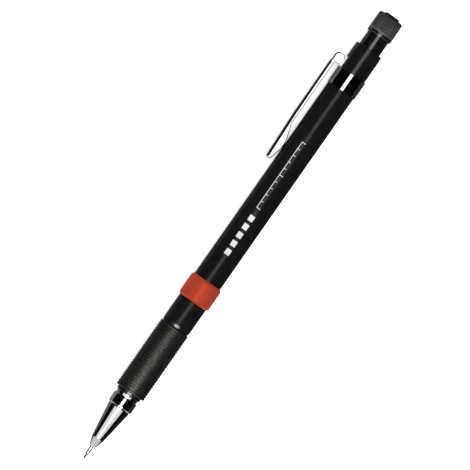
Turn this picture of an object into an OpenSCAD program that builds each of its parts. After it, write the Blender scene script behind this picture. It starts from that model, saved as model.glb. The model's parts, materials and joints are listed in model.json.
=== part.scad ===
// Click-advance mechanical pencil for 0.5 mm lead, lying on a table.
// Each piece is drawn about the pencil's own axis, with z measured from the tip of the
// lead sleeve towards the cap. place() then lays the pencil down along X.

/* [Lead] */
// Lead diameter
lead_d = 0.56; // [0.5:0.01:0.57]
// How far the lead stands out of its sleeve
lead_out = 1.2; // [0.5:0.1:2]
// Length of one lead
lead_len = 60; // [50:1:60]

/* [Nose] */
// Lead sleeve, outer diameter
sleeve_d = 1.0; // [0.9:0.02:1.1]
// Lead sleeve, length outside the cone
sleeve_out = 2.6; // [2:0.1:4]
// Cone, diameter of its blunt front end
cone_front_d = 1.76; // [1.7:0.02:2.2]
// Cone, diameter where its slope changes
cone_knee_d = 3.46; // [3.2:0.02:3.6]
// Cone, length of its steep front part
cone_knee_len = 2.6; // [2:0.1:3]
// Cone, length of its long slope
cone_len = 9.8; // [9.5:0.1:11]
// Cone, diameter at its back
cone_back_d = 6.3; // [6.2:0.1:6.6]
// Diameter of the plain collar behind the cone
nose_collar_d = 7.0; // [6.8:0.1:7.2]
// Length of the plain collar
nose_collar_len = 2.65; // [2:0.05:3]

/* [Grip section] */
// Grip sleeve, diameter over the ribs
grip_d = 8.64; // [8.4:0.02:8.8]
// Grip sleeve, length
grip_len = 20.8; // [18:0.1:24]
// Number of rings around the grip
grip_ribs = 26; // [16:1:32]
// Height of the rings
grip_rib_h = 0.16; // [0.1:0.02:0.2]
// Smooth section behind the grip, diameter
front_d = 8.25; // [8:0.05:8.3]
// Smooth section behind the grip, length
front_len = 8.35; // [6:0.05:10]

/* [Barrel] */
// Coloured ring, diameter
ring_d = 9.3; // [9.1:0.02:9.4]
// Coloured ring, length
ring_len = 6.7; // [5:0.1:9]
// Barrel, diameter
barrel_d = 8.16; // [8.1:0.02:8.2]
// Barrel, length up to the clip band
barrel_len = 61.7; // [58:0.1:66]

/* [Clip] */
// Clip band, diameter
band_d = 8.65; // [8.6:0.01:8.7]
// Clip band, length
band_len = 5.1; // [5:0.1:6]
// Clip, width across the arm
clip_w = 3.6; // [3:0.1:4]
// Clip, distance of its outer face from the pencil's axis
clip_reach = 7.05; // [7:0.01:7.1]
// How far the clip springs open, in degrees
clip_open = 3; // [1:0.5:3]

/* [Button] */
// Top collar, diameter at its lower end
top_d = 8.0; // [7.95:0.05:8.1]
// Top collar, length
top_len = 8.05; // [7:0.05:9]
// Button tube, diameter of its visible stem
stem_d = 6.34; // [6.2:0.02:6.36]
// Visible length of the stem at rest
stem_len = 4.25; // [4.25:0.05:5.5]
// Cap, diameter over its ribs
cap_d = 7.25; // [7.1:0.05:7.4]
// Number of ribs round the cap
cap_ribs = 36; // [24:1:40]
// Travel of the button
press = 3.0; // [2.5:0.1:3]

/* [Hidden] */
$fn = 96;

// Clearances: running between moving pieces, snug between pieces that are pressed together
running = 0.05;
snug = 0.02;

// Stations along the axis, from the sleeve's tip towards the cap
z_cone = sleeve_out;
z_knee = z_cone + cone_knee_len;
z_groove = z_knee + cone_len;
z_nose_collar = z_groove + 0.5;
z_neck = z_nose_collar + nose_collar_len;
z_lip = z_neck + 1.05;
z_grip = z_lip + 0.9;
z_front = z_grip + grip_len;
z_ring = z_front + front_len;
z_barrel = z_ring + ring_len;
z_band = z_barrel + barrel_len;
z_top = z_band + band_len;
z_stem = z_top + top_len;
z_cap = z_stem + stem_len;
cap_len = 6.1;
boss_h = 0.5;
z_end = z_cap + cap_len + boss_h;

// Radii that several pieces share
lead_r = lead_d / 2;
sleeve_step = 0.2;
spigot_r = 2.6;
neck_r = 3.25;
core_r = 3.4;
housing_r = 2.25;
front_bore_r = 2.35;
barrel_bore_r = 3.4;
counter_bore_r = 3.6;
band_wall = 0.3;
reservoir_r = 2.2;
reservoir_bore_r = 1.75;
stem_r = stem_d / 2;
cap_seat_r = 2.85;
retainer_r = 1.4;
jaw_span = 112;
eraser_r = 2.2;

// Stations of the mechanism inside
z_retainer = z_knee + 3.6;
retainer_len = 2.4;
z_clutch_stop = z_groove - 0.3;
z_socket = z_nose_collar + 0.1;
z_spigot = z_socket + 0.2;
z_ring_rest = z_clutch_stop + 0.8;
clutch_len = 2.2;
z_jaw = z_retainer + retainer_len + 0.3 + press;
jaw_len = 8.3;
z_jaw_root = z_jaw + jaw_len;
z_web = z_spigot + 3.7;
z_seat = z_web + 2.0;
z_flange = z_seat + 18.5;
z_reservoir = z_flange + 1;
z_tube = z_band - 5;
z_reservoir_end = z_tube + 13.5;
z_eraser = z_stem + 2.2;
z_tube_end = z_cap + 2.7;
eraser_len = 7.3;

// The clip is one bent strip. Its foot is held under the band, and its arm springs from there.
foot_r0 = counter_bore_r + 0.03;
foot_t = 0.36;
hinge_r = foot_r0 + foot_t / 2;
hump_h = 3.15;

// The pencil lies on the coloured ring and the clip's lower edge
roll = 25.4;
clip_corner = clip_reach * sin(roll) + clip_w / 2 * cos(roll);
axis_height = max(ring_d / 2, clip_corner);
clip_side = clip_reach * cos(roll) + clip_w / 2 * sin(roll);
axis_offset = (clip_side - ring_d / 2) / 2;
mid_z = (z_end - lead_out) / 2;

module place() {
    translate([mid_z, axis_offset, axis_height])
        rotate([90 + roll, 0, 0])
        rotate([0, -90, 0])
        children();
}

// A solid turned about the pencil's axis from [radius, z] points
module turned(points) {
    place() rotate_extrude() polygon(points);
}

module tube(r_out, r_in, z0, z1) {
    turned([[r_in, z0], [r_out, z0], [r_out, z1], [r_in, z1]]);
}

module rod(r, z0, z1, edge = 0) {
    turned([[0, z0], [r - edge, z0], [r, z0 + edge], [r, z1 - edge], [r - edge, z1], [0, z1]]);
}

// Points of an arc about [cx, cy], from angle a0 to a1
function arc(cx, cy, r, a0, a1, n = 6) =
    [for (i = [0:n]) let (a = a0 + (a1 - a0) * i / n) [cx + r * cos(a), cy + r * sin(a)]];

// The sleeve is stepped, so that it can't be pushed out of the cone
module lead_sleeve() {
    r = sleeve_d / 2;
    bore = lead_r + 0.03;
    color("silver")
        turned([[bore, 0], [r - 0.12, 0], [r, 0.4], [r, z_cone], [r + sleeve_step, z_cone],
            [r + sleeve_step, z_retainer - 0.3], [bore, z_retainer - 0.3]]);
}

module nose_cone() {
    socket_r = spigot_r + 0.2;
    sleeve_seat_r = sleeve_d / 2 + sleeve_step + snug;
    chamber_r = 1.95;
    head_r = 1.75;
    pocket_r = retainer_r + snug;
    back_r = cone_back_d / 2;
    collar_r = nose_collar_d / 2;
    pilot_r = spigot_r + running;
    outside = concat(
        arc(cone_front_d / 2 - 0.1, z_cone + 0.1, 0.1, -90, 0, 3),
        [[cone_knee_d / 2, z_knee], [back_r, z_groove]],
        [[back_r - 0.2, z_groove + 0.05], [back_r - 0.2, z_groove + 0.12]],
        [[collar_r, z_nose_collar], [collar_r, z_neck - 0.12], [collar_r - 0.12, z_neck]],
        arc(neck_r + 0.55, z_neck + 0.5, 0.6, -120, -180, 4),
        [[neck_r, z_lip]]
    );
    inside = [
        [pilot_r, z_lip], [pilot_r, z_lip - 0.8],
        [socket_r, z_lip - 0.8], [socket_r, z_socket],
        [chamber_r, z_socket], [chamber_r, z_clutch_stop],
        [head_r, z_clutch_stop], [head_r, z_retainer + retainer_len],
        [pocket_r, z_retainer + retainer_len], [pocket_r, z_retainer],
        [sleeve_seat_r, z_retainer], [sleeve_seat_r, z_cone]
    ];
    color("gainsboro") turned(concat(outside, inside));
}

module lead_retainer() {
    bore = lead_r + 0.03;
    color("dimgray")
        turned([[bore, z_retainer], [retainer_r, z_retainer], [retainer_r, z_retainer + retainer_len],
            [bore + 0.5, z_retainer + retainer_len], [bore, z_retainer + retainer_len - 0.6]]);
}

module working_lead() {
    color("dimgray") rod(lead_r, -lead_out, lead_len - lead_out, 0.06);
}

// The lead reservoir holds three spare leads side by side
module spare_lead(number) {
    angle = 120 * number;
    off_axis = 0.95;
    z0 = lead_len + 2;
    color("dimgray")
        place() rotate([0, 0, angle]) translate([off_axis, 0, z0])
            cylinder(r = lead_r, h = lead_len, $fn = 32);
}

module clutch_ring() {
    r_out = 1.85;
    r_in = 1.2;
    z0 = z_ring_rest;
    z1 = z0 + clutch_len;
    color("goldenrod")
        turned([[r_in, z0], [r_out - 0.15, z0], [r_out, z0 + 0.15], [r_out, z1 - 0.15],
            [r_out - 0.15, z1], [r_in, z1]]);
}

// One third of a split collet: a conical head that the clutch ring closes, and a springy neck
module chuck_jaw(number) {
    bore = lead_r + 0.01;
    z0 = z_jaw;
    profile = [
        [bore, z0 + 0.2], [bore + 0.2, z0], [1.2, z0], [1.38, z0 + 0.2], [1.38, z0 + 0.4],
        [1.14, z0 + 0.9], [0.95, z0 + 3.2], [0.95, z_jaw_root - 1.2], [1.1, z_jaw_root - 0.8],
        [1.1, z_jaw_root], [0.6, z_jaw_root], [0.6, z0 + 2.6], [bore, z0 + 2.2]
    ];
    color("goldenrod")
        place() rotate([0, 0, 120 * number - jaw_span / 2])
            rotate_extrude(angle = jaw_span) polygon(profile);
}

module chuck_stem() {
    bore = lead_r + 0.32;
    z0 = z_jaw_root + 0.05;
    boss_r = reservoir_bore_r - snug;
    color("goldenrod")
        turned([[bore, z0], [1.15, z0], [1.15, z_flange], [reservoir_r, z_flange],
            [reservoir_r, z_reservoir], [boss_r, z_reservoir], [boss_r, z_reservoir + 3.7],
            [boss_r - 0.3, z_reservoir + 4], [bore + 0.4, z_reservoir + 4], [bore, z_reservoir + 3]]);
}

// Holds the clutch ring's chamber in front and the spring's seat behind
module chuck_housing() {
    color("darkgoldenrod")
        turned([[1.95, z_socket], [housing_r, z_socket], [housing_r, z_seat], [1.5, z_seat],
            [1.5, z_web], [1.95, z_web]]);
}

// Round wire wound about the axis, swept as rings of points
module return_spring() {
    wire_r = 0.2;
    coil_r = 1.85;
    turns = 11;
    per_turn = 14;
    sides = 8;
    z0 = z_seat + wire_r;
    z1 = z_flange - wire_r;
    n = turns * per_turn;
    points = [for (i = [0:n]) let (a = 360 * i / per_turn, z = z0 + (z1 - z0) * i / n)
        for (k = [0:sides - 1]) let (b = 360 * k / sides, r = coil_r + wire_r * cos(b))
            [r * cos(a), r * sin(a), z + wire_r * sin(b)]];
    walls = [for (i = [0:n - 1]) for (k = [0:sides - 1]) let (m = (k + 1) % sides)
        [i * sides + k, (i + 1) * sides + k, (i + 1) * sides + m, i * sides + m]];
    first = [for (k = [0:sides - 1]) k];
    last = [for (k = [sides - 1:-1:0]) n * sides + k];
    color("lightsteelblue") place() polyhedron(points, concat([first], walls, [last]), convexity = 8);
}

module front_barrel() {
    lip_r = 3.55;
    front_r = front_d / 2;
    shoulder = 0.3;
    joint_r = barrel_bore_r - snug;
    joint_edge = 0.4;
    z_joint = z_ring + 17.4;
    outside = concat(
        [[spigot_r - 0.2, z_spigot], [spigot_r, z_spigot + 0.2], [spigot_r, z_lip]],
        [[neck_r, z_lip], [lip_r - 0.1, z_lip + 0.1], [lip_r, z_lip + 0.25], [lip_r, z_grip]],
        [[core_r, z_grip], [core_r, z_front]],
        arc(front_r - shoulder, z_front + shoulder, shoulder, -90, 0, 4),
        [[front_r, z_ring], [joint_r, z_ring], [joint_r, z_joint - joint_edge],
            [joint_r - joint_edge, z_joint]]
    );
    color("black")
        turned(concat(outside, [[front_bore_r, z_joint], [front_bore_r, z_spigot]]));
}

module grip_sleeve() {
    pitch = grip_len / grip_ribs;
    crest = grip_d / 2;
    root = crest - grip_rib_h;
    ribs = [for (i = [0:grip_ribs - 1]) let (z = z_grip + i * pitch)
        each [[root, z], [root, z + 0.2 * pitch], [crest, z + 0.4 * pitch], [crest, z + 0.8 * pitch]]];
    color([0.16, 0.15, 0.14])
        turned(concat(ribs, [[root, z_front], [core_r + snug, z_front], [core_r + snug, z_grip]]));
}

module colour_ring() {
    r = ring_d / 2;
    round_r = 0.7;
    color([0.72, 0.24, 0.17])
        turned(concat(
            arc(r - round_r, z_ring + round_r, round_r, -90, 0, 6),
            arc(r - round_r, z_barrel - round_r, round_r, 0, 90, 6),
            [[barrel_bore_r, z_barrel], [barrel_bore_r, z_ring]]
        ));
}

module rear_barrel() {
    r = barrel_d / 2;
    band_seat = band_d / 2 - band_wall - snug;
    z_counter = z_band - 4.5;
    color([0.1, 0.1, 0.1])
        difference() {
            turned([[barrel_bore_r, z_barrel], [r - 0.1, z_barrel], [r, z_barrel + 0.1],
                [r, z_band], [band_seat, z_band], [band_seat, z_top], [counter_bore_r, z_top],
                [counter_bore_r, z_counter], [barrel_bore_r, z_counter]]);
            clip_slot(3, z_band + 0.2, 6);
        }
}

// Room for the clip's foot: a slot on the clip's side, from radius r0 outwards
module clip_slot(r0, z0, height) {
    room = clip_w + 0.3;
    place() translate([r0, -room / 2, z0]) cube([3, room, height]);
}

module clip_band() {
    r = band_d / 2;
    edge = 0.08;
    color("silver")
        turned([[r - band_wall, z_band], [r - edge, z_band], [r, z_band + edge], [r, z_top - edge],
            [r - edge, z_top], [r - band_wall, z_top]]);
}

module clip_foot() {
    span = clip_w / hinge_r * 180 / PI;
    color("silver")
        place() translate([0, 0, z_band + 0.5]) rotate([0, 0, -span / 2])
            rotate_extrude(angle = span) translate([foot_r0, 0]) square([foot_t, band_len - 0.55]);
}

// The arm is a channel, open towards the barrel. Its side walls grow deeper over the collar,
// where they make the clip's head, and a strip along the head's underside ends in a round bead.
module clip_arm() {
    skin = 0.45;
    bead = foot_t / 2;
    z_hinge = z_top + bead + 0.04;
    z_head = z_top + 0.3;
    outer = clip_reach;
    head_outer = outer - 0.2;
    tip_outer = outer - 0.53;
    z_tip = z_band - 25.75;
    touch = barrel_d / 2 + 0.06;
    depth = 1.25;
    head_round = 1.3;
    bump_round = 0.9;
    tip_round = 0.75;
    profile = concat(
        arc(hinge_r, z_hinge, bead, 180, 360, 6),
        [[foot_r0 + foot_t, z_head], [outer - depth - 0.35, z_head], [outer - depth, z_top - 0.1]],
        [[outer - depth, z_tip + 11.1], [outer - 2.0, z_tip + 8.1]],
        arc(touch + bump_round, z_tip + 5.2, bump_round, 135, 225, 8),
        [[outer - 2.4, z_tip + 2.0]],
        arc(tip_outer - tip_round, z_tip + tip_round, tip_round, 200, 360, 8),
        [[outer, z_tip + 14.5], [outer, z_top], [head_outer, z_top + 0.5]],
        arc(head_outer - head_round, z_top + hump_h - head_round, head_round, 0, 90, 8),
        arc(hinge_r + 1.4, z_top + hump_h - 1.0, 1.0, 90, 150, 6),
        [[foot_r0, z_top + 1.0]]
    );
    color("silver")
        difference() {
            place() rotate([90, 0, 0]) union() {
                linear_extrude(clip_w, center = true) polygon(profile);
                translate([hinge_r, z_hinge, 0]) cylinder(r = bead, h = clip_w, center = true);
            }
            channel(touch, outer - skin, z_tip + 9.5, z_top - 1.5);
            channel(foot_r0 + foot_t, head_outer - skin, z_top - 1.6, z_top + hump_h - skin);
        }
}

// A cut between the clip's side walls, from radius r0 to r1
module channel(r0, r1, z0, z1) {
    inner_w = clip_w - 1.0;
    place() translate([r0, -inner_w / 2, z0]) cube([r1 - r0, inner_w, z1 - z0]);
}

module top_collar() {
    r = top_d / 2;
    bore = stem_r + running;
    spigot = counter_bore_r - snug;
    edge = 0.2;
    rim = 0.4;
    z_spigot_end = z_band - 3.5;
    color([0.12, 0.12, 0.12])
        difference() {
            turned(concat(
                [[bore, z_spigot_end], [spigot - edge, z_spigot_end], [spigot, z_spigot_end + edge]],
                [[spigot, z_top], [r, z_top]],
                arc(r - 0.1 - rim, z_stem - rim, rim, 0, 90, 4),
                [[bore + 0.1, z_stem], [bore, z_stem - 0.1]]
            ));
            clip_slot(foot_r0 - hump_h * sin(clip_open) - 0.1, z_top, hump_h + 0.15);
        }
}

module lead_reservoir() {
    color([0.85, 0.85, 0.83]) tube(reservoir_r, reservoir_bore_r, z_reservoir, z_reservoir_end);
}

module button_tube() {
    socket_r = eraser_r + running;
    stop_r = barrel_bore_r - running;
    color([0.08, 0.08, 0.08])
        turned([
            [reservoir_r + snug, z_tube], [stop_r, z_tube], [stop_r, z_tube + 1.4],
            [stem_r, z_tube + 1.4], [stem_r, z_cap], [cap_seat_r, z_cap],
            [cap_seat_r, z_tube_end], [socket_r, z_tube_end], [socket_r, z_eraser],
            [reservoir_bore_r, z_eraser], [reservoir_bore_r, z_reservoir_end],
            [reservoir_r + snug, z_reservoir_end]
        ]);
}

module eraser() {
    color("white") rod(eraser_r, z_eraser, z_eraser + eraser_len, 0.25);
}

// Ribs as an even zigzag round the cap
function zigzag(r_out, r_in, n) =
    [for (i = [0:n - 1]) for (k = [0:3])
        let (a = 360 * (i + k / 4) / n, r = k < 2 ? r_out : r_in) [r * cos(a), r * sin(a)]];

module button_cap() {
    r = cap_d / 2;
    root = r - 0.16;
    bore = cap_seat_r + running;
    boss_r = 2.2;
    lip = 1.1;
    roof = 0.8;
    z_ribs = z_cap + lip;
    z_roof = z_cap + cap_len;
    color([0.2, 0.19, 0.18])
        difference() {
            union() {
                turned([[0, z_cap], [r - 0.15, z_cap], [r, z_cap + 0.15], [r, z_ribs - 0.2],
                    [root - 0.1, z_ribs], [root - 0.1, z_roof - 0.4], [root - 0.4, z_roof], [0, z_roof]]);
                place() translate([0, 0, z_ribs])
                    linear_extrude(z_roof - 0.4 - z_ribs) polygon(zigzag(r - 0.03, root, cap_ribs));
                turned([[0, z_roof - 0.2], [boss_r, z_roof - 0.2], [boss_r, z_end - 0.15],
                    [boss_r - 0.15, z_end], [0, z_end]]);
            }
            turned([[0, z_cap - 1], [bore, z_cap - 1], [bore, z_roof - roof], [0, z_roof - roof]]);
        }
}

lead_sleeve();
nose_cone();
lead_retainer();
working_lead();
clutch_ring();
chuck_jaw(1);  // chuck_jaw_1
chuck_jaw(2);  // chuck_jaw_2
chuck_jaw(3);  // chuck_jaw_3
chuck_stem();
chuck_housing();
return_spring();
front_barrel();
grip_sleeve();
colour_ring();
rear_barrel();
clip_band();
clip_foot();
clip_arm();
top_collar();
lead_reservoir();
spare_lead(1);  // spare_lead_1
spare_lead(2);  // spare_lead_2
spare_lead(3);  // spare_lead_3
button_tube();
eraser();
button_cap();
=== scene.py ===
import json
import math

import bmesh
import bpy
from mathutils import Matrix, Vector


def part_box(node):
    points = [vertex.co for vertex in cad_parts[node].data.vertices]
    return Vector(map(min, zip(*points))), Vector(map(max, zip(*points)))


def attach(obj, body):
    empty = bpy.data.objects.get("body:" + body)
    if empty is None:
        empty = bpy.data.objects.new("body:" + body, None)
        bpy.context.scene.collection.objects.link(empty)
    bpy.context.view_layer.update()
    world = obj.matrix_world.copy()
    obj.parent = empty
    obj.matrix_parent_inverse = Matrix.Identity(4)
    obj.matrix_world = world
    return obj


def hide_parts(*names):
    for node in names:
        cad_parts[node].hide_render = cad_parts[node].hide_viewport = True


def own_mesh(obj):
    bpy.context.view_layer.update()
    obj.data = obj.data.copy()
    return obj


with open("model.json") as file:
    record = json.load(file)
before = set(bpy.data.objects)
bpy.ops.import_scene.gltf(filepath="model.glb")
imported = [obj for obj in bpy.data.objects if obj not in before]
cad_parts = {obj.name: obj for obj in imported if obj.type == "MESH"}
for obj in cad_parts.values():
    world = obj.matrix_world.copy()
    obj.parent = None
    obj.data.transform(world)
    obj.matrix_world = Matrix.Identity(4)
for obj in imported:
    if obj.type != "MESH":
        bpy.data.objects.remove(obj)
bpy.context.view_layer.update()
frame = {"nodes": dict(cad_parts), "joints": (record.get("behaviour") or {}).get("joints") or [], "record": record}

MM = 0.001

# ---------------------------------------------------------------- the pencil's own axes
# Sizes below are in millimetres, with z along the pencil from the sleeve's tip to the cap,
# and r out from its axis. The frame gives where that axis lies and how the pencil is rolled.


def joint(name):
    return next(j for j in frame["joints"] if j["name"] == name)


barrel_lo, barrel_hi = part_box("rear_barrel")
AXIS_Y = (barrel_lo.y + barrel_hi.y) / 2
AXIS_Z = (barrel_lo.z + barrel_hi.z) / 2
TIP_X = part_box("lead_sleeve")[1].x
ALONG = Vector((-1, 0, 0))
FRONT = -Vector(joint("clip_flex")["axis"]).normalized()
CLIP = FRONT.cross(ALONG)


def at(clip_mm, front_mm, z_mm):
    """A point from its distances towards the clip, towards the camera, and along the pencil."""
    start = Vector((TIP_X, AXIS_Y, AXIS_Z))
    return start + (CLIP * clip_mm + FRONT * front_mm + ALONG * z_mm) * MM


def ends(node):
    """A node's first and last z, in millimetres."""
    lo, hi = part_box(node)
    return (TIP_X - hi.x) / MM, (TIP_X - lo.x) / MM


def radius(node):
    lo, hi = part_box(node)
    return (hi.y - lo.y) / 2 / MM


# Sizes inside the pencil that its pieces share. The clip's reach and foot are out from the axis.
CLEAR = 0.02
BARREL_BORE = 3.4
COUNTER_BORE = 3.6
STEM_R = 3.17
CLIP_WIDTH = 3.6
CLIP_REACH = 7.05
CLIP_FOOT = 3.63
CLIP_STRIP = 0.36
CLIP_DEPTH = 1.25
CLIP_HEAD = 3.15
CLIP_SKIN = 0.45
CLIP_CROWN = 0.14
SLOT_HALF = CLIP_WIDTH / 2 + 0.15


# ---------------------------------------------------------------- camera, square to the pencil
# The picture's width where the pencil is, the point it is aimed at, and the pencil's tilt in it
PICTURE_WIDTH = 124.55
AIM_ALONG = 70.18
AIM_CLIP = 1.03
CAMERA_DISTANCE = 1650
TILT = math.radians(34.96)


def make_camera():
    data = bpy.data.cameras.new("camera")
    data.sensor_width = 36
    data.lens = data.sensor_width * CAMERA_DISTANCE / PICTURE_WIDTH
    data.clip_start = 0.05
    data.clip_end = 20
    camera = bpy.data.objects.new("camera", data)
    bpy.context.scene.collection.objects.link(camera)
    up = ALONG * math.cos(TILT) + CLIP * math.sin(TILT)
    right = up.cross(FRONT)
    turn = Matrix((right, up, FRONT)).transposed().to_4x4()
    camera.matrix_world = Matrix.Translation(at(AIM_CLIP, CAMERA_DISTANCE, AIM_ALONG)) @ turn
    bpy.context.scene.camera = camera


make_camera()


# ---------------------------------------------------------------- meshes
def rounded(points, steps=6):
    """A closed outline from (z, r) or (z, r, fillet radius) corners, with the fillets as arcs."""
    found = []
    n = len(points)
    for i, point in enumerate(points):
        here = Vector(point[:2])
        fillet = point[2] if len(point) > 2 else 0
        if not fillet:
            found.append(here)
            continue
        back = Vector(points[i - 1][:2]) - here
        ahead = Vector(points[(i + 1) % n][:2]) - here
        half = back.angle(ahead) / 2
        run = min(fillet / math.tan(half), 0.48 * back.length, 0.48 * ahead.length)
        fillet = run * math.tan(half)
        back.normalize()
        ahead.normalize()
        centre = here + (back + ahead).normalized() * (fillet / math.sin(half))
        first = here + back * run - centre
        last = here + ahead * run - centre
        turn = first.angle_signed(last)
        for k in range(steps + 1):
            a = -turn * k / steps
            found.append(centre + Vector((
                first.x * math.cos(a) - first.y * math.sin(a),
                first.x * math.sin(a) + first.y * math.cos(a))))
    return found


def finish_mesh(mesh, sharp=32):
    shape = bmesh.new()
    shape.from_mesh(mesh)
    bmesh.ops.remove_doubles(shape, verts=shape.verts, dist=1e-8)
    bmesh.ops.recalc_face_normals(shape, faces=shape.faces)
    shape.to_mesh(mesh)
    shape.free()
    mesh.shade_smooth()
    mesh.set_sharp_from_angle(angle=math.radians(sharp))


def new_piece(name, points, faces, sharp=32):
    mesh = bpy.data.meshes.new(name)
    mesh.from_pydata([tuple(p) for p in points], [], faces)
    piece = bpy.data.objects.new(name, mesh)
    bpy.context.scene.collection.objects.link(piece)
    finish_mesh(mesh, sharp)
    return piece


def turned(name, outline, segments=160, shape=None, sharp=32):
    """A closed (z, r) outline turned about the pencil's axis. shape(angle, z, r) may change r."""
    points = []
    for i in range(segments):
        a = 2 * math.pi * i / segments
        for z, r in outline:
            r_here = shape(a, z, r) if shape else r
            points.append(at(r_here * math.cos(a), r_here * math.sin(a), z))
    n = len(outline)
    faces = []
    for i in range(segments):
        j = (i + 1) % segments
        for k in range(n):
            m = (k + 1) % n
            on_axis_k = outline[k][1] < 1e-6
            on_axis_m = outline[m][1] < 1e-6
            if on_axis_k and on_axis_m:
                continue
            if on_axis_k:
                faces.append((i * n + k, i * n + m, j * n + m))
            elif on_axis_m:
                faces.append((i * n + k, i * n + m, j * n + k))
            else:
                faces.append((i * n + k, i * n + m, j * n + m, j * n + k))
    return new_piece(name, points, faces, sharp)


def box_cut(piece, lo, hi):
    """Cuts a box, given by its (clip, front, z) corners, out of a piece."""
    corners = [at(x, y, z) for x in (lo[0], hi[0]) for y in (lo[1], hi[1]) for z in (lo[2], hi[2])]
    faces = [(0, 1, 3, 2), (4, 6, 7, 5), (0, 4, 5, 1), (2, 3, 7, 6), (0, 2, 6, 4), (1, 5, 7, 3)]
    cutter = new_piece("cutter", corners, faces)
    cut = piece.modifiers.new("cut", "BOOLEAN")
    cut.operation = "DIFFERENCE"
    cut.solver = "EXACT"
    cut.object = cutter
    apply_modifiers(piece)
    bpy.data.objects.remove(cutter)


def apply_modifiers(piece):
    graph = bpy.context.evaluated_depsgraph_get()
    made = bpy.data.meshes.new_from_object(piece.evaluated_get(graph))
    old = piece.data
    piece.modifiers.clear()
    piece.data = made
    made.name = piece.name
    bpy.data.meshes.remove(old)


def bevel(piece, width_mm, segments=3, angle=32):
    edge = piece.modifiers.new("edge", "BEVEL")
    edge.width = width_mm * MM
    edge.segments = segments
    edge.limit_method = "ANGLE"
    edge.angle_limit = math.radians(angle)
    edge.harden_normals = True


# ---------------------------------------------------------------- materials
def new_material(name):
    material = bpy.data.materials.new(name)
    material.use_nodes = True
    nodes = material.node_tree.nodes
    return material, nodes, material.node_tree.links, nodes["Principled BSDF"]


def noise(nodes, links, scale, stretch=(1, 1, 1), detail=4):
    """Noise in the object's own metres. stretch makes it long in one direction."""
    where = nodes.new("ShaderNodeTexCoord")
    place = nodes.new("ShaderNodeMapping")
    place.inputs["Scale"].default_value = stretch
    texture = nodes.new("ShaderNodeTexNoise")
    texture.inputs["Scale"].default_value = scale
    texture.inputs["Detail"].default_value = detail
    links.new(where.outputs["Object"], place.inputs["Vector"])
    links.new(place.outputs["Vector"], texture.inputs["Vector"])
    return texture.outputs["Fac"]


def spread(nodes, links, value, low, high, start=0.3, end=0.7):
    """Maps a noise value to a range of numbers."""
    ramp = nodes.new("ShaderNodeMapRange")
    ramp.inputs["From Min"].default_value = start
    ramp.inputs["From Max"].default_value = end
    ramp.inputs["To Min"].default_value = low
    ramp.inputs["To Max"].default_value = high
    links.new(value, ramp.inputs["Value"])
    return ramp.outputs["Result"]


def tone(nodes, links, value, dark, light):
    """Mixes two colours by a value from 0 to 1."""
    mix = nodes.new("ShaderNodeMix")
    mix.data_type = "RGBA"
    mix.inputs["A"].default_value = (*dark, 1)
    mix.inputs["B"].default_value = (*light, 1)
    links.new(value, mix.inputs["Factor"])
    return mix.outputs["Result"]


def bump(nodes, links, shader, value, depth_mm, strength=1.0):
    raised = nodes.new("ShaderNodeBump")
    raised.inputs["Strength"].default_value = strength
    raised.inputs["Distance"].default_value = depth_mm * MM
    links.new(value, raised.inputs["Height"])
    links.new(raised.outputs["Normal"], shader.inputs["Normal"])


def surface(name, dark, light, rough, metallic=0.0, specular=0.5, ior=1.5, tint=None, coat=0.0,
            grain=2500, grain_depth=0.004, grain_stretch=(1, 1, 1), patch=180):
    """A material with patchy tone, uneven gloss and a fine grain.
    rough is the lowest and highest roughness. grain and patch are noise scales per metre."""
    material, nodes, links, shader = new_material(name)
    patches = noise(nodes, links, patch, detail=5)
    fine = noise(nodes, links, grain, grain_stretch, detail=3)
    colour = tone(nodes, links, spread(nodes, links, patches, 0, 1), dark, light)
    links.new(colour, shader.inputs["Base Color"])
    links.new(spread(nodes, links, fine, *rough), shader.inputs["Roughness"])
    shader.inputs["Metallic"].default_value = metallic
    shader.inputs["Specular IOR Level"].default_value = specular
    shader.inputs["IOR"].default_value = ior
    if tint:
        shader.inputs["Specular Tint"].default_value = (*tint, 1)
    shader.inputs["Coat Weight"].default_value = coat
    shader.inputs["Coat Roughness"].default_value = 0.08
    bump(nodes, links, shader, fine, grain_depth)
    return material


def from_axis(nodes, links, low_mm, high_mm):
    """How far out a point is from the pencil's axis, as 0 at low_mm and 1 at high_mm."""
    where = nodes.new("ShaderNodeTexCoord")
    shift = nodes.new("ShaderNodeMapping")
    shift.inputs["Location"].default_value = (0, -AXIS_Y, -AXIS_Z)
    flat = nodes.new("ShaderNodeVectorMath")
    flat.operation = "MULTIPLY"
    flat.inputs[1].default_value = (0, 1, 1)
    length = nodes.new("ShaderNodeVectorMath")
    length.operation = "LENGTH"
    links.new(where.outputs["Object"], shift.inputs["Vector"])
    links.new(shift.outputs["Vector"], flat.inputs[0])
    links.new(flat.outputs["Vector"], length.inputs[0])
    return spread(nodes, links, length.outputs["Value"], 0, 1, low_mm * MM, high_mm * MM)


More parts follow.
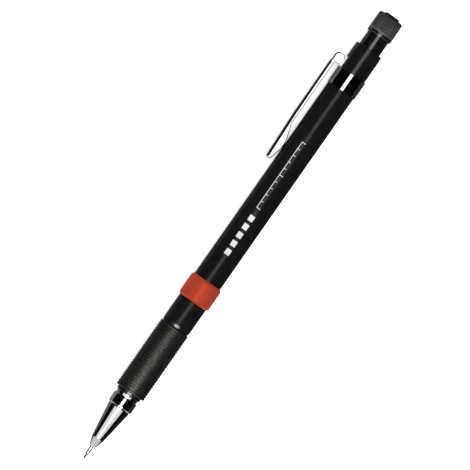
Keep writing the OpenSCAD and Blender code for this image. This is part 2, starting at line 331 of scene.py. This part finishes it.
def paint_rib_shade_and_highlight(material, low_mm, high_mm, z_ribs, least):
    """Paints the cap's rib crests lighter than its valleys and smooth lip, which get near black: a painted
    highlight on the crests and painted shade in the valleys. Also lowers the specular level in the valleys.
    """
    nodes, links = material.node_tree.nodes, material.node_tree.links
    shader = nodes["Principled BSDF"]
    most = shader.inputs["Specular IOR Level"].default_value
    out = from_axis(nodes, links, low_mm, high_mm)
    level = spread(nodes, links, out, least * most, most, 0, 1)
    links.new(level, shader.inputs["Specular IOR Level"])
    where = nodes.new("ShaderNodeTexCoord")
    split = nodes.new("ShaderNodeSeparateXYZ")
    links.new(where.outputs["Object"], split.inputs[0])
    x_ribs = TIP_X - z_ribs * MM
    on_ribs = spread(nodes, links, split.outputs["X"], 1, 0, x_ribs - 0.1 * MM, x_ribs + 0.1 * MM)
    both = nodes.new("ShaderNodeMath")
    both.operation = "MULTIPLY"
    links.new(out, both.inputs[0])
    links.new(on_ribs, both.inputs[1])
    colour = shader.inputs["Base Color"].links[0].from_socket
    # Painted shade: the valleys and the lip are mixed towards near black, which leaves the crests as a painted
    # highlight.
    mix = nodes.new("ShaderNodeMix")
    mix.data_type = "RGBA"
    mix.inputs["A"].default_value = (0.004, 0.004, 0.004, 1)
    links.new(both.outputs["Value"], mix.inputs["Factor"])
    links.new(colour, mix.inputs["B"])
    links.new(mix.outputs["Result"], shader.inputs["Base Color"])


TURNING = (12, 1, 1)
MATERIALS = {
    "chrome": surface("chrome", (0.80, 0.81, 0.82), (0.86, 0.87, 0.88), (0.035, 0.07),
                      metallic=1, grain=900, grain_depth=0.0004, patch=60),
    "steel": surface("steel", (0.36, 0.37, 0.38), (0.50, 0.51, 0.52), (0.2, 0.34),
                     metallic=1, grain=4000, grain_depth=0.002, grain_stretch=TURNING),
    "brass": surface("brass", (0.62, 0.42, 0.16), (0.78, 0.57, 0.25), (0.2, 0.36),
                     metallic=1, grain=3000, grain_depth=0.003, grain_stretch=TURNING),
    "graphite": surface("graphite", (0.035, 0.036, 0.04), (0.06, 0.06, 0.065), (0.4, 0.55),
                        metallic=0.3, grain=9000, grain_depth=0.003),
    "soft_rubber": surface("soft_rubber", (0.014, 0.014, 0.014), (0.022, 0.022, 0.022),
                           (0.55, 0.75), grain=5000, grain_depth=0.004),
    "gloss_black": surface("gloss_black", (0.0030, 0.0030, 0.0034), (0.0042, 0.0042, 0.0048),
                           (0.18, 0.24), specular=1.0, ior=1.75, tint=(0.90, 0.95, 1.0),
                           grain=1500, grain_depth=0.0006),
    "barrel_black": surface("barrel_black", (0.0044, 0.0044, 0.0044), (0.0058, 0.0058, 0.0058),
                            (0.17, 0.22), specular=0.36, grain=2600, grain_depth=0.0006),
    "collar_black": surface("collar_black", (0.0046, 0.0046, 0.0046), (0.0062, 0.0062, 0.0062),
                            (0.17, 0.22), specular=0.75, grain=4200, grain_depth=0.0008),
    "grip_rubber": surface("grip_rubber", (0.0026, 0.0023, 0.0018), (0.0044, 0.0039, 0.0032),
                           (0.36, 0.46), specular=0.75, tint=(1.0, 0.96, 0.90),
                           grain=5200, grain_depth=0.005),
    "orange_red": surface("orange_red", (0.26, 0.029, 0.0125), (0.305, 0.036, 0.016),
                          (0.26, 0.34), specular=0.9, ior=1.7, tint=(1.0, 0.13, 0.08),
                          grain=3200, grain_depth=0.0015),
    "white_plastic": surface("white_plastic", (0.70, 0.70, 0.68), (0.78, 0.78, 0.76), (0.3, 0.42),
                             grain=2200, grain_depth=0.003),
    "white_eraser": surface("white_eraser", (0.74, 0.74, 0.71), (0.84, 0.84, 0.81), (0.6, 0.85),
                            specular=0.3, grain=3600, grain_depth=0.010),
    # This colour shows only on the cap's rib crests, where it is the plastic's own dark grey raised into a painted
    # highlight.
    "cap_black": surface("cap_black", (0.058, 0.055, 0.049), (0.072, 0.068, 0.061), (0.20, 0.27),
                         specular=1.0, ior=1.8, tint=(1.0, 0.97, 0.92),
                         grain=4200, grain_depth=0.002),
    "white_ink": surface("white_ink", (0.46, 0.46, 0.46), (0.54, 0.54, 0.54), (0.4, 0.55),
                         specular=0.3, grain=5000, grain_depth=0.003),
}


cap_r = radius("button_cap")
# Painted rib light on the cap: lighter crests and near-black valleys and lip stand in for the rib highlights and
# the shade between the ribs.
paint_rib_shade_and_highlight(MATERIALS["cap_black"], cap_r - 0.1, cap_r - 0.05, ends("button_cap")[0] + 1.0, 0.05)


def dress(piece, slot_name):
    piece.data.materials.clear()
    piece.data.materials.append(MATERIALS[slot_name])


def add(piece, body, slot_name, *nodes):
    """Puts a finished piece on its body, in the place of its CAD nodes."""
    dress(piece, slot_name)
    even = piece.modifiers.new("normals", "WEIGHTED_NORMAL")
    even.keep_sharp = True
    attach(piece, body)
    if nodes:
        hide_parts(*nodes)
    return piece


# ---------------------------------------------------------------- the nose
def make_sleeve():
    z0, z1 = ends("lead_sleeve")
    r = 0.5
    z_cone = ends("nose_cone")[0]
    seat_r = radius("lead_sleeve")
    bore = radius("working_lead") + 0.03
    outline = rounded([
        (z0, bore), (z0, r - 0.13, 0.05), (z0 + 0.42, r, 0.15), (z_cone, r),
        (z_cone, seat_r), (z1, seat_r), (z1, bore)])
    add(turned("lead_sleeve_tube", outline, 64), "nose", "steel", "lead_sleeve")


def make_lead():
    z0, z1 = ends("working_lead")
    r = radius("working_lead")
    outline = rounded([(z0, 0), (z0, r - 0.08, 0.03), (z0 + 0.14, r, 0.05), (z1, r, 0.04), (z1, 0)])
    add(turned("lead_rod", outline, 48), "lead", "graphite", "working_lead")


def make_cone():
    z0, z1 = ends("nose_cone")
    collar_r = radius("nose_cone")
    z_groove = z0 + 12.4
    z_collar = z_groove + 0.5
    z_neck = z1 - 1.05
    knee = (z0 + 2.6, 1.74, 0.7)
    back_r = 3.15
    seat_r = radius("lead_sleeve") + CLEAR
    retainer_z0, retainer_z1 = ends("lead_retainer")
    retainer_r = radius("lead_retainer") + CLEAR
    outline = rounded([
        (z0, seat_r), (z0, 0.86, 0.1), knee, (z_groove, back_r, 0.08),
        (z_groove + 0.04, back_r - 0.2), (z_groove + 0.12, back_r - 0.2, 0.03),
        (z_collar, collar_r, 0.05), (z_neck, collar_r, 0.12),
        (z_neck + 0.12, 3.02, 0.5), (z1, 3.24, 0.05),
        (z1, 2.65), (z1 - 0.8, 2.65), (z1 - 0.8, 2.8), (z_collar + 0.1, 2.8),
        (z_collar + 0.1, 1.95), (z_groove - 0.3, 1.95), (z_groove - 0.3, 1.75),
        (retainer_z1, 1.75), (retainer_z1, retainer_r), (retainer_z0, retainer_r),
        (retainer_z0, seat_r)])
    add(turned("nose_cone_shell", outline, 192), "nose", "chrome", "nose_cone")


# ---------------------------------------------------------------- grip section
def make_front_barrel():
    z0, z1 = ends("front_barrel")
    z_lip = ends("nose_cone")[1]
    z_grip, z_front = ends("grip_sleeve")
    z_ring = ends("colour_ring")[0]
    front_r = radius("front_barrel")
    bore = 2.35
    outline = rounded([
        (z0, bore), (z0, 2.6, 0.2), (z_lip - 0.05, 2.6), (z_lip, 3.1), (z_lip, 3.5, 0.2),
        (z_grip, 3.56), (z_grip, 3.4), (z_front, 3.4),
        (z_front, front_r - 0.3), (z_front + 0.3, front_r - 0.15, 0.15),
        (z_front + 1.05, front_r, 0.5), (z_ring, front_r), (z_ring, BARREL_BORE - CLEAR),
        (z1, BARREL_BORE - CLEAR, 0.4), (z1, bore)])
    add(turned("front_barrel_core", outline, 192), "barrel", "barrel_black", "front_barrel")
    make_thread(z0 + 0.5, z_lip - 1.0)


def make_thread(z0, z1):
    """The male thread that the nose screws on to: one ridge wound round the spigot."""
    pitch = 0.6
    height = 0.13
    root = 2.58
    per_turn = 72
    n = round((z1 - z0) / pitch * per_turn)
    points = []
    for i in range(n + 1):
        a = 2 * math.pi * i / per_turn
        z = z0 + (z1 - z0) * i / n
        grow = min(1, i / per_turn * 2, (n - i) / per_turn * 2)
        crest = root + 0.02 + height * grow
        for dz, r in ((-0.2, root), (-0.05, crest), (0.05, crest), (0.2, root)):
            points.append(at(r * math.cos(a), r * math.sin(a), z + dz))
    faces = [(i * 4 + k, i * 4 + k + 1, i * 4 + k + 5, i * 4 + k + 4)
             for i in range(n) for k in range(3)]
    faces += [(i * 4 + 3, i * 4, i * 4 + 4, i * 4 + 7) for i in range(n)]
    faces += [(0, 1, 2, 3), (n * 4 + 3, n * 4 + 2, n * 4 + 1, n * 4)]
    add(new_piece("front_barrel_thread", points, faces, 60), "barrel", "barrel_black")


def make_grip():
    z0, z1 = ends("grip_sleeve")
    crest = radius("grip_sleeve")
    root = crest - 0.17
    rings = 26
    pitch = (z1 - z0) / rings
    corners = []
    for i in range(rings):
        z = z0 + i * pitch
        corners += [(z, root, 0.05), (z + 0.12 * pitch, root, 0.08),
                    (z + 0.3 * pitch, crest, 0.14), (z + 0.82 * pitch, crest, 0.14)]
    corners += [(z1, root + 0.02, 0.05), (z1, 3.42), (z0, 3.42)]
    piece = turned("grip_sleeve_rings", rounded(corners, 3), sharp=60)
    add(piece, "barrel", "grip_rubber", "grip_sleeve")


def make_colour_ring():
    z0, z1 = ends("colour_ring")
    r = radius("colour_ring")
    outline = rounded([
        (z0, BARREL_BORE), (z0, r - 0.5, 0.1), (z0 + 0.65, r - 0.02, 0.45), (z0 + 0.9, r, 0.3),
        (z1 - 0.7, r, 0.45), (z1, r - 0.4, 0.3), (z1, BARREL_BORE)])
    add(turned("colour_ring_band", outline, 192), "barrel", "orange_red", "colour_ring")


# ---------------------------------------------------------------- barrel, band and collar
def make_rear_barrel():
    z0, z1 = ends("rear_barrel")
    z_band = ends("clip_band")[0]
    r = radius("rear_barrel")
    seat = radius("clip_band") - 0.32
    z_counter = z_band - 4.5
    outline = rounded([
        (z0, BARREL_BORE), (z0, r, 0.12), (z_band, r, 0.04), (z_band, seat), (z1, seat),
        (z1, COUNTER_BORE), (z_counter, COUNTER_BORE), (z_counter, BARREL_BORE)])
    piece = turned("rear_barrel_tube", outline, 192)
    box_cut(piece, (3, -SLOT_HALF, z_band + 0.2), (6, SLOT_HALF, z1 + 1))
    finish_mesh(piece.data)
    add(piece, "barrel", "barrel_black", "rear_barrel")


def make_band():
    z0, z1 = ends("clip_band")
    r = radius("clip_band")
    inner = r - 0.3
    outline = rounded([(z0, inner), (z0, r), (z1, r, 0.06), (z1, inner)])
    add(turned("clip_band_ring", outline, 192), "barrel", "chrome", "clip_band")


def make_top_collar():
    z0, z1 = ends("top_collar")
    z_top = ends("clip_band")[1]
    r = radius("top_collar")
    bore = STEM_R + 0.05
    spigot = COUNTER_BORE - CLEAR
    outline = rounded([
        (z0, bore), (z0, spigot, 0.15), (z_top, spigot), (z_top, r, 0.06), (z1 - 1.2, r - 0.02, 2),
        (z1, r - 0.08, 0.4), (z1, bore + 0.15), (z1 - 0.15, bore)])
    piece = turned("top_collar_sleeve", outline, 192)
    flex = math.radians(joint("clip_flex")["range_deg"][1])
    notch_r = CLIP_FOOT - CLIP_HEAD * flex - 0.1
    box_cut(piece, (notch_r, -SLOT_HALF, z_top - 0.01), (6, SLOT_HALF, z_top + CLIP_HEAD + 0.15))
    finish_mesh(piece.data)
    bevel(piece, 0.05, 2, 50)
    add(piece, "barrel", "collar_black", "top_collar")


# ---------------------------------------------------------------- the clip
def clip_profile():
    """The clip's side outline as (z, r): the bead, the head over the collar, and the arm."""
    z_top = ends("clip_band")[1]
    lo, hi = ends("clip_arm")
    inner = CLIP_REACH - CLIP_DEPTH
    bead_z = z_top + 0.04
    strip_r = CLIP_FOOT + CLIP_STRIP
    touch = radius("rear_barrel") + 0.06
    corners = [
        (bead_z, CLIP_FOOT, 0.17), (bead_z, strip_r, 0.17), (z_top + 0.3, strip_r, 0.05),
        (z_top + 0.3, inner - 0.2, 0.15), (z_top - 0.1, inner, 0.4),
        (lo + 11.2, inner, 1.6), (lo + 7.0, touch + 0.25, 1.6), (lo + 5.2, touch, 3.0),
        (lo + 3.4, touch + 0.2, 2.0), (lo, CLIP_REACH - 1.85, 0.55), (lo, CLIP_REACH - 0.55, 0.55),
        (lo + 14.5, CLIP_REACH - 0.02, 14), (z_top, CLIP_REACH, 0.3),
        (z_top + 0.5, CLIP_REACH - 0.2, 0.3), (hi, CLIP_REACH - 0.2, 1.4),
        (hi, CLIP_FOOT + 0.85, 0.8), (hi - 2.2, CLIP_FOOT, 0.8)]
    return rounded(corners, 8)


def smooth_step(value, low, high):
    t = min(1, max(0, (value - low) / (high - low)))
    return t * t * (3 - 2 * t)


def make_clip():
    """The clip: its side outline, carried across its width, with the edges of both sides rolled
    over. The roll is large along the arm's outer face and small elsewhere."""
    outline = clip_profile()
    n = len(outline)
    z_top = ends("clip_band")[1]
    lo, hi = ends("clip_arm")
    half = CLIP_WIDTH / 2
    roll_outer, roll_inner, roll_bump, roll_strip = 0.76, 0.25, 0.34, 0.1
    turning = sum(outline[k - 1].cross(outline[k]) for k in range(n))
    inward, roll = [], []
    for i, (z, r) in enumerate(outline):
        run = outline[(i + 1) % n] - outline[i - 1]
        into = Vector((-run.y, run.x)).normalized() * math.copysign(1, turning)
        on_arm = 1 - smooth_step(z, z_top - 0.4, z_top + 0.5)
        outside = smooth_step(-into.y, -0.3, 0.5) * smooth_step(r, 4.8, 5.6)
        near_tip = 1 - smooth_step(z, lo + 6, lo + 12)
        small = roll_inner + (roll_bump - roll_inner) * near_tip
        roll_here = small + (roll_outer - small) * outside * (0.2 + 0.8 * on_arm)
        inward.append(into)
        roll.append(roll_here if r > 4.1 else roll_strip)
    angles = [math.radians(7.5 * k) for k in range(13)]
    rolls = (roll_outer, roll_bump, roll_inner)
    depths = {round(f * (1 - math.cos(a)), 4) for a in angles for f in rolls}
    depths |= {round(half * k / 5, 4) for k in range(2, 6)}
    depths = sorted(depths)
    rows = [-half + d for d in depths] + [half - d for d in reversed(depths[:-1])]
    points = []
    for y in rows:
        drop = CLIP_CROWN * (y / half) ** 2
        for (z, r), into, f in zip(outline, inward, roll):
            short = max(0, f - (half - abs(y)))
            inset = f - math.sqrt(max(0, f * f - short * short))
            where = Vector((z, r)) + into * inset
            points.append(at(where.y - drop, y, where.x))
    last = len(rows) - 1
    faces = [(k * n + i, k * n + (i + 1) % n, (k + 1) * n + (i + 1) % n, (k + 1) * n + i)
             for k in range(last) for i in range(n)]
    faces += [tuple(range(n)), tuple(last * n + i for i in reversed(range(n)))]
    piece = new_piece("clip_spring_arm", points, faces)
    inner_half = half - 0.5
    under_skin = CLIP_REACH - CLIP_SKIN - CLIP_CROWN
    box_cut(piece, (4.2, -inner_half, lo + 9.5), (under_skin, inner_half, z_top - 1.5))
    box_cut(piece, (CLIP_FOOT + CLIP_STRIP, -inner_half, z_top - 1.6),
            (under_skin - 0.2, inner_half, hi - CLIP_SKIN))
    finish_mesh(piece.data, 40)
    add(piece, "clip", "chrome", "clip_arm")


# ---------------------------------------------------------------- button
def make_button_tube():
    z0, z1 = ends("button_tube")
    z_cap = ends("button_cap")[0]
    z_eraser = ends("eraser")[0]
    z_reservoir_end = ends("lead_reservoir")[1]
    stop = BARREL_BORE - 0.05
    cap_seat = 2.85
    reservoir_seat = radius("lead_reservoir") + CLEAR
    eraser_seat = radius("eraser") + 0.05
    outline = rounded([
        (z0, reservoir_seat), (z0, stop, 0.1), (z0 + 1.4, stop, 0.1), (z0 + 1.4, STEM_R),
        (z_cap, STEM_R, 0.08), (z_cap, cap_seat), (z1, cap_seat, 0.15), (z1, eraser_seat, 0.1),
        (z_eraser, eraser_seat), (z_eraser, 1.75), (z_reservoir_end, 1.75),
        (z_reservoir_end, reservoir_seat)])
    add(turned("button_tube_stem", outline, 192), "button", "gloss_black", "button_tube")


def make_eraser():
    z0, z1 = ends("eraser")
    r = radius("eraser")
    outline = rounded([(z0, 0), (z0, r, 0.3), (z1, r, 0.45), (z1, 0)])
    add(turned("eraser_stick", outline, 96), "eraser", "white_eraser", "eraser")


def make_cap():
    z0, z1 = ends("button_cap")
    r = radius("button_cap")
    ribs = 36
    root = r - 0.15
    boss_r = 2.2
    z_ribs = z0 + 1.0
    z_roof = z1 - 0.5
    bore = 2.9
    per_rib = 12

    def ribbed(angle, z, r_here):
        """Round-topped ribs that run out at the lip and at the roof's edge."""
        if r_here < root - 0.01 or z < z_ribs:
            return r_here
        wave = 0.5 + 0.5 * math.cos(angle * ribs)
        fade = min(1, (z - z_ribs) / 0.25)
        return r_here - (r - root) * fade * (1 - wave)

    side = [(z_ribs + (z_roof - 0.3 - z_ribs) * k / 8, r - 0.05 * k / 8) for k in range(9)]
    outline = rounded(
        [(z0, bore), (z0, r - 0.14, 0.06), (z0 + 0.2, r - 0.03, 0.15), (z_ribs - 0.25, r, 0.1)]
        + side
        + [(z_roof, root - 0.3, 0.2), (z_roof, boss_r, 0.06), (z1, boss_r - 0.08, 0.2), (z1, 0),
           (z_roof - 0.8, 0), (z_roof - 0.8, bore, 0.2)], 5)
    piece = turned("button_cap_shell", outline, ribs * per_rib, ribbed, 50)
    add(piece, "cap", "cap_black", "button_cap")


# ---------------------------------------------------------------- inside
def make_spring():
    """The return spring, with its end turns closed up, as round wire wound about the axis."""
    z0, z1 = ends("return_spring")
    wire = 0.2
    coil = radius("return_spring") - wire
    turns = 12
    per_turn = 48
    sides = 12
    n = turns * per_turn
    low, high = z0 + wire, z1 - wire
    closed = 1.2

    def height(turn):
        """How far up the wire is, with both end turns lying close to the next."""
        step = 2.1 * wire
        if turn < closed:
            return step * turn
        if turn > turns - closed:
            return (high - low) - step * (turns - turn)
        rest = (high - low) - 2 * closed * step
        return step * closed + rest * (turn - closed) / (turns - 2 * closed)

    points = []
    for i in range(n + 1):
        a = 2 * math.pi * i / per_turn
        z = low + height(turns * i / n)
        for k in range(sides):
            b = 2 * math.pi * k / sides
            r = coil + wire * math.cos(b)
            points.append(at(r * math.cos(a), r * math.sin(a), z + wire * math.sin(b)))
    faces = [(i * sides + k, i * sides + (k + 1) % sides,
              (i + 1) * sides + (k + 1) % sides, (i + 1) * sides + k)
             for i in range(n) for k in range(sides)]
    faces += [tuple(range(sides)), tuple(n * sides + k for k in reversed(range(sides)))]
    piece = add(new_piece("return_spring_coil", points, faces), "barrel", "steel", "return_spring")
    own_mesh(piece)


def dress_cad_nodes():
    """Materials and softened edges for the CAD nodes that are shown as they are."""
    slots = {row["node"]: row["material_slot"] for row in frame["record"]["subparts"]}
    for node, piece in frame["nodes"].items():
        if piece.hide_render:
            continue
        dress(piece, slots[node])
        bevel(piece, 0.03, 2, 40)


# ---------------------------------------------------------------- print on the barrel
def printed(name, marks):
    """Thin ink patches wrapped round the barrel. A mark is (z0, z1, side0, side1), with the side
    in millimetres round the surface from its middle, away from the clip."""
    barrel_r = radius("rear_barrel")
    sink, lift = 0.01, 0.008
    n = 6
    points, faces = [], []
    for z0, z1, s0, s1 in marks:
        first = len(points)
        for k in range(n + 1):
            a = math.pi / 2 + (s0 + (s1 - s0) * k / n) / barrel_r
            for z in (z0, z1):
                for r in (barrel_r - sink, barrel_r + lift):
                    points.append(at(r * math.cos(a), r * math.sin(a), z))
        for k in range(n):
            a, b = first + 4 * k, first + 4 * (k + 1)
            faces += [(a + 1, a + 3, b + 3, b + 1), (a, b, b + 2, a + 2),
                      (a, a + 1, b + 1, b), (a + 2, b + 2, b + 3, a + 3)]
        end = first + 4 * n
        faces += [(first, first + 2, first + 3, first + 1), (end, end + 1, end + 3, end + 2)]
    # The ink has no slot of its own in the record, so it goes in the barrel's
    piece = add(new_piece(name, points, faces), "barrel", "barrel_black")
    piece.data.materials[0] = MATERIALS["white_ink"]


def make_print():
    """A generic line mark: five short bars, then a long fine rule with ticks. No letters."""
    start, pitch, length, half = 64.6, 2.7, 1.7, 0.75
    bars = [(start + pitch * k, start + pitch * k + length, -half, half) for k in range(5)]
    printed("barrel_print_bars", bars)
    rule_z0, rule_z1 = 79.4, 100.6
    line, side = 0.18, -0.44
    ticks = 11
    rule = [(rule_z0, rule_z1, side - line, side)]
    for k in range(ticks):
        z = rule_z0 + (rule_z1 - rule_z0 - line) * k / (ticks - 1)
        tall = 0.62 if k % 5 == 0 else 0.15
        rule.append((z, z + line, side, tall))
    printed("barrel_print_rule", rule)


make_sleeve()
make_lead()
make_cone()
make_front_barrel()
make_grip()
make_colour_ring()
make_rear_barrel()
make_band()
make_top_collar()
make_clip()
make_button_tube()
make_eraser()
make_cap()
make_spring()
make_print()
dress_cad_nodes()


# ---------------------------------------------------------------- floor and light
def make_floor():
    """A pale floor that curves up into a wall all round, far behind the object."""
    flat_r, curve_r, wall_height = 2.4, 0.8, 2.6
    steps = 10
    segments = 96
    profile = [(0, 0), (flat_r, 0)]
    for k in range(1, steps + 1):
        a = math.pi / 2 * k / steps
        profile.append((flat_r + curve_r * math.sin(a), curve_r - curve_r * math.cos(a)))
    profile.append((flat_r + curve_r, wall_height))
    points, faces = [], []
    for i in range(segments):
        a = 2 * math.pi * i / segments
        points += [(r * math.cos(a), r * math.sin(a), z) for r, z in profile]
    n = len(profile)
    for i in range(segments):
        j = (i + 1) % segments
        for k in range(n - 1):
            faces.append((i * n + k, j * n + k, j * n + k + 1, i * n + k + 1))
    mesh = bpy.data.meshes.new("floor")
    mesh.from_pydata(points, [], faces)
    floor = bpy.data.objects.new("floor", mesh)
    bpy.context.scene.collection.objects.link(floor)
    finish_mesh(mesh, 80)
    material, _, _, shader = new_material("pale_floor")
    shader.inputs["Base Color"].default_value = (0.9, 0.9, 0.9, 1)
    shader.inputs["Roughness"].default_value = 0.9
    shader.inputs["Specular IOR Level"].default_value = 0.0
    shader.inputs["Emission Color"].default_value = (1, 1, 1, 1)
    shader.inputs["Emission Strength"].default_value = 0.5
    mesh.materials.append(material)
    floor.visible_glossy = False


def card(name, aim_z, direction, distance, across, along, radiance, glossy=True, diffuse=True):
    """A rectangular light that faces the point at aim_z on the pencil's axis. across and along are
    the tangents of the angles that it spans: across from the clip's side, along towards the cap."""
    data = bpy.data.lights.new(name, "AREA")
    data.shape = "RECTANGLE"
    data.size = (across[1] - across[0]) * distance
    data.size_y = (along[1] - along[0]) * distance
    data.energy = 4 * radiance * data.size * data.size_y
    light = bpy.data.objects.new(name, data)
    bpy.context.scene.collection.objects.link(light)
    back = direction.normalized()
    side = -CLIP
    cap_way = side.cross(back)
    if cap_way.dot(ALONG) < 0:
        cap_way.negate()
    place = at(0, 0, aim_z) + distance * (
        back + side * (across[0] + across[1]) / 2 + cap_way * (along[0] + along[1]) / 2)
    turn = Matrix((cap_way.cross(back), cap_way, back)).transposed().to_4x4()
    light.matrix_world = Matrix.Translation(place) @ turn
    light.visible_camera = False
    light.visible_glossy = glossy
    light.visible_diffuse = diffuse


def from_tip_side(degrees):
    """The way to the camera, turned towards the tip."""
    turn = math.radians(degrees)
    return FRONT * math.cos(turn) - ALONG * math.sin(turn)


def make_lights():
    """A long strip for the barrel's gloss, a card on the tip's side for the nose, a small near one
    for the grip and the nose next to it, and light from above that shows in no reflection."""
    card("strip", 70, FRONT, 0.8, (-0.17, 0.235), (-0.75, 0.75), 1.2)
    card("nose_box", 8, from_tip_side(30), 0.8, (-0.95, 1.45), (0.07, 0.34), 0.6, diffuse=False)
    card("grip_core", 41.5, from_tip_side(22), 0.12, (-0.24, 0.4), (-0.1, 0.06), 16.0,
         diffuse=False)
    card("fill", 70, Vector((0, 0, 1)), 1.6, (-0.7, 0.7), (-0.7, 0.7), 1.6, glossy=False)


def make_world():
    """Dark in front and above, with pale grey behind the object, as its gloss shows."""
    world = bpy.data.worlds.new("studio")
    bpy.context.scene.world = world
    world.use_nodes = True
    nodes, links = world.node_tree.nodes, world.node_tree.links
    where = nodes.new("ShaderNodeTexCoord")

    def towards(direction):
        dot = nodes.new("ShaderNodeVectorMath")
        dot.operation = "DOT_PRODUCT"
        dot.inputs[1].default_value = direction
        links.new(where.outputs["Generated"], dot.inputs[0])
        return dot.outputs["Value"]

    def combine(operation, first, second):
        node = nodes.new("ShaderNodeMath")
        node.operation = operation
        for socket, value in zip(node.inputs, (first, second)):
            if isinstance(value, (int, float)):
                socket.default_value = value
            else:
                links.new(value, socket)
        return node.outputs["Value"]

    behind = spread(nodes, links, towards(-FRONT), 0, 1, 0.06, 0.16)
    by_clip = spread(nodes, links, towards(CLIP), 0.03, 0.20, -0.3, 0.3)
    off_tip = spread(nodes, links, towards(-ALONG), 1, 0.3, 0.05, 0.28)
    past_tip = spread(nodes, links, towards(-ALONG), 0, 0.66, 0.42, 0.52)
    far_tip = spread(nodes, links, towards(-ALONG), 1, 0.12, 0.7, 0.9)
    total = combine("ADD", combine("MULTIPLY", combine("MULTIPLY", behind, by_clip), off_tip),
                    combine("ADD", combine("MULTIPLY", past_tip, far_tip), 0.002))
    links.new(total, nodes["Background"].inputs["Strength"])
    nodes["Background"].inputs["Color"].default_value = (1, 1, 1, 1)


make_floor()
make_lights()
make_world()
bpy.context.scene.view_settings.view_transform = "Standard"
